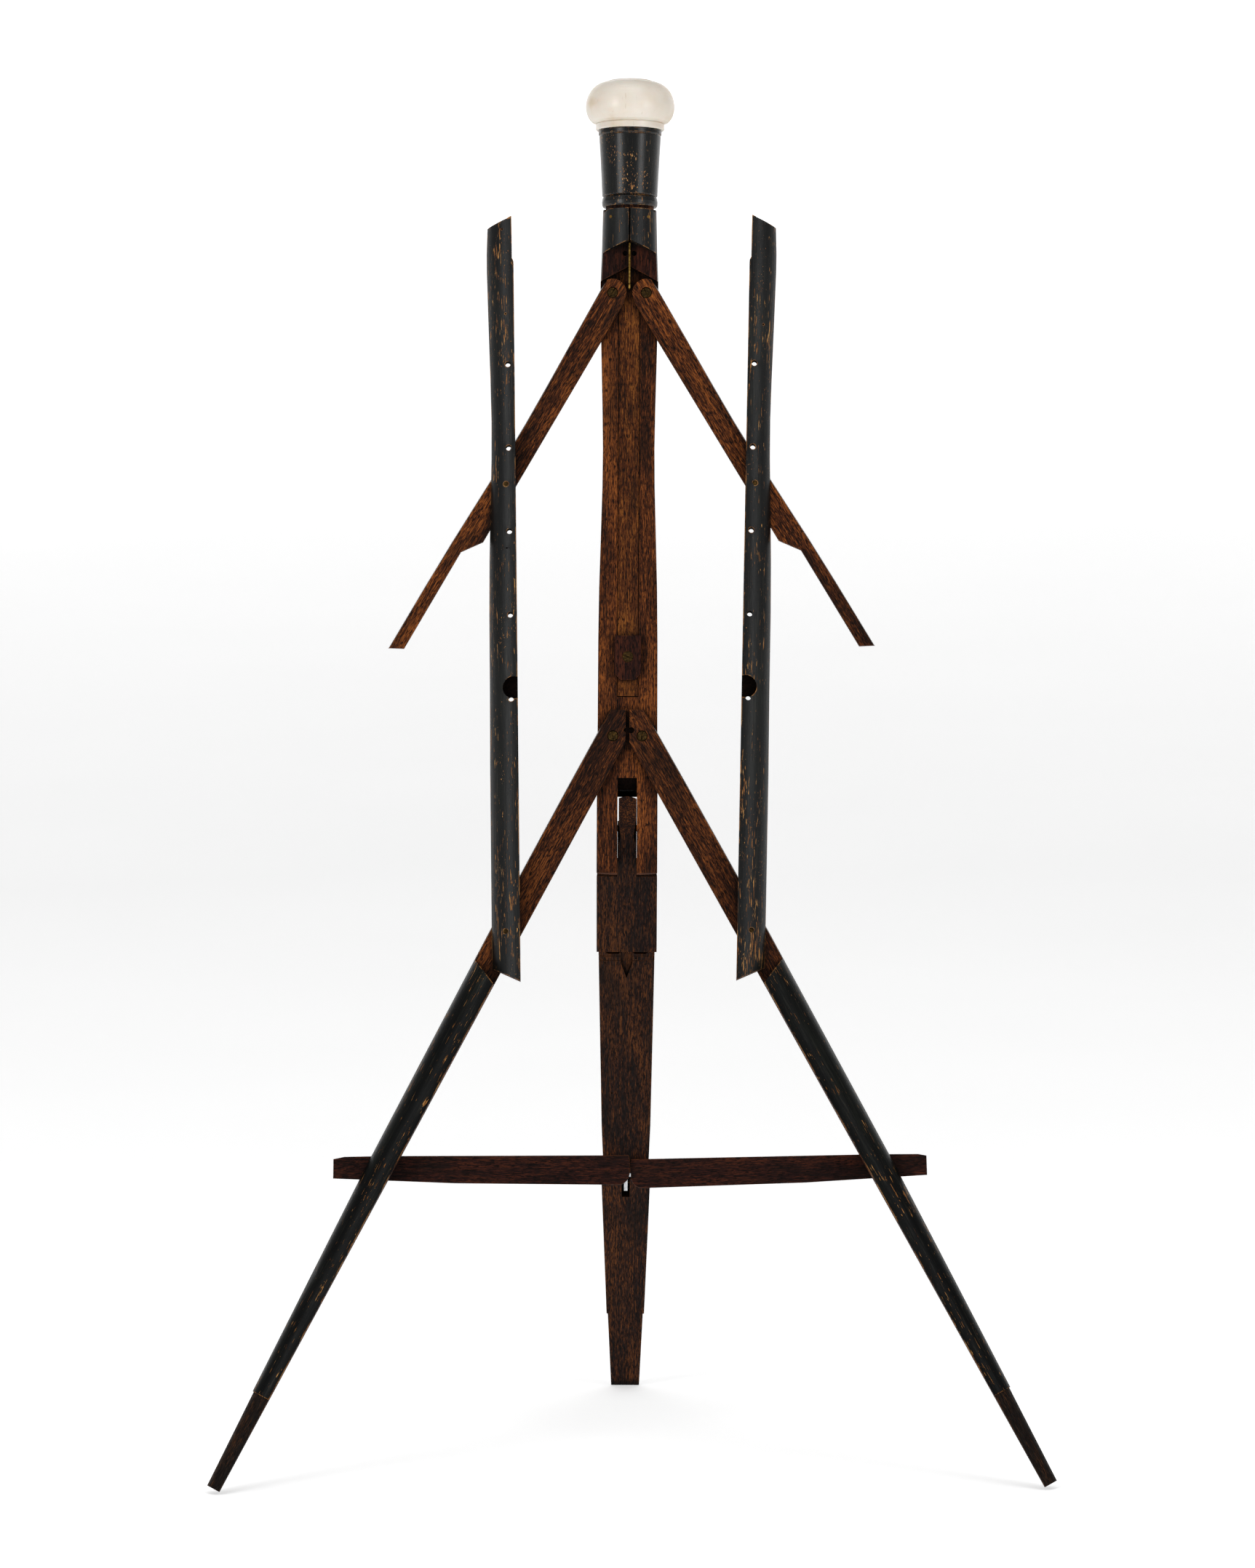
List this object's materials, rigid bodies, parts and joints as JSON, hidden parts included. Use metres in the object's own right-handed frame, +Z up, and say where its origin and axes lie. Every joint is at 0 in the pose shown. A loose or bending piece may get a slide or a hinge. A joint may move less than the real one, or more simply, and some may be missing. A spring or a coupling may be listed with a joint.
{
  "type": "folding easel walking stick",
  "caption": "Artist's easel that folds into a walking stick: column with a knob, hinged arms, upright canvas bars, splayed front legs, crossbars and a rear leg.",
  "frame": {"origin": "on the floor, under the middle of the open easel", "axes": "+Z up; -Y towards the front, where the canvas bars face; +X to the right as seen from the front"},
  "size_m": [0.5098, 0.3543, 0.8365],
  "materials": {
    "ebonised": "satin, worn",
    "walnut": "satin",
    "dark_walnut": "satin",
    "ivory": "polished bone or ivory",
    "brass": "aged",
    "steel": "satin"
  },
  "bodies": {
    "column": {"knob": "ivory", "knob_stud": "brass", "collar": "ebonised", "column": "walnut", "centre_strip": "dark_walnut", "turn_button_screw": "brass", "stub_left": "ebonised", "stub_right": "ebonised", "stub_pin_left": "brass", "stub_pin_right": "brass", "shoulder_block_left": "walnut", "shoulder_block_right": "walnut", "brass_blade": "brass", "arm_screw_left": "brass", "arm_screw_right": "brass", "leg_screw_left": "brass", "leg_screw_right": "brass", "rear_hinge_pin": "brass"},
    "rear_leg": {"rear_leg": "dark_walnut", "catch_pin": "brass"},
    "catch": {"catch": "steel"},
    "turn_button": {"turn_button": "dark_walnut"},
    "leg_left": {"leg_left": "walnut", "crossbar_pin_left": "brass", "crossbar_washer_left": "brass"},
    "arm_left": {"arm_left": "walnut"},
    "bar_left": {"bar_left": "ebonised", "bar_pin_upper_left": "brass", "bar_pin_lower_left": "brass"},
    "crossbar_left": {"crossbar_left": "walnut"},
    "leg_right": {"leg_right": "walnut", "crossbar_pin_right": "brass", "crossbar_washer_right": "brass"},
    "arm_right": {"arm_right": "walnut"},
    "bar_right": {"bar_right": "ebonised", "bar_pin_upper_right": "brass", "bar_pin_lower_right": "brass"},
    "crossbar_right": {"crossbar_right": "walnut"}
  },
  "joints": [
    {"name": "leg_left_fold", "type": "hinge", "parent": "column", "child": "leg_left", "pos_m": [-0.00897, -0.07662, 0.44429], "axis": [0, -0.9781, 0.2079], "range_deg": [0, 28.1]},
    {"name": "arm_left_fold", "type": "hinge", "parent": "column", "child": "arm_left", "pos_m": [-0.00765, -0.02065, 0.70761], "axis": [0, -0.9781, 0.2079], "range_deg": [0, 30.13]},
    {"name": "bar_left_pivot", "type": "hinge", "parent": "leg_left", "child": "bar_left", "pos_m": [-0.07398, -0.10467, 0.32917], "axis": [0, -0.9781, 0.2079], "range_deg": [-29.01, 0]},
    {"name": "crossbar_left_fold", "type": "hinge", "parent": "leg_left", "child": "crossbar_left", "pos_m": [-0.15129, -0.12623, 0.18926], "axis": [0, -0.9781, 0.2079], "range_deg": [0, 62.25]},
    {"name": "leg_right_fold", "type": "hinge", "parent": "column", "child": "leg_right", "pos_m": [0.00863, -0.07666, 0.44412], "axis": [0, 0.9781, -0.2079], "range_deg": [0, 29.3]},
    {"name": "arm_right_fold", "type": "hinge", "parent": "column", "child": "arm_right", "pos_m": [0.01275, -0.02069, 0.70741], "axis": [0, 0.9781, -0.2079], "range_deg": [0, 31.34]},
    {"name": "bar_right_pivot", "type": "hinge", "parent": "leg_right", "child": "bar_right", "pos_m": [0.07373, -0.10469, 0.32905], "axis": [0, 0.9781, -0.2079], "range_deg": [-30.2, 0]},
    {"name": "crossbar_right_fold", "type": "hinge", "parent": "leg_right", "child": "crossbar_right", "pos_m": [0.15115, -0.12624, 0.18919], "axis": [0, 0.9781, -0.2079], "range_deg": [0, 62.95]},
    {"name": "rear_leg_fold", "type": "hinge", "parent": "column", "child": "rear_leg", "pos_m": [-0.00072, -0.07379, 0.38788], "axis": [-0.9999, 0.0021, 0.0099], "range_deg": [0, 45.63]},
    {"name": "turn_button_swivel", "type": "hinge", "parent": "column", "child": "turn_button", "pos_m": [0.00032, -0.06617, 0.49105], "axis": [0, -0.9781, 0.2079], "range_deg": [-90, 0]},
    {"name": "catch_swing", "type": "hinge", "parent": "rear_leg", "child": "catch", "pos_m": [-0.00279, 0.07975, 0.14533], "axis": [-0.9999, 0.0021, 0.0099], "range_deg": [-60, 0]}
  ],
  "couplings": [
    {"joint": "arm_left_fold", "follows": "leg_left_fold", "ratio": 1.0705},
    {"joint": "bar_left_pivot", "follows": "leg_left_fold", "ratio": -1.0305},
    {"joint": "crossbar_left_fold", "follows": "leg_left_fold", "ratio": 2.2135},
    {"joint": "arm_right_fold", "follows": "leg_right_fold", "ratio": 1.0678},
    {"joint": "bar_right_pivot", "follows": "leg_right_fold", "ratio": -1.0291},
    {"joint": "crossbar_right_fold", "follows": "leg_right_fold", "ratio": 2.1468}
  ]
}
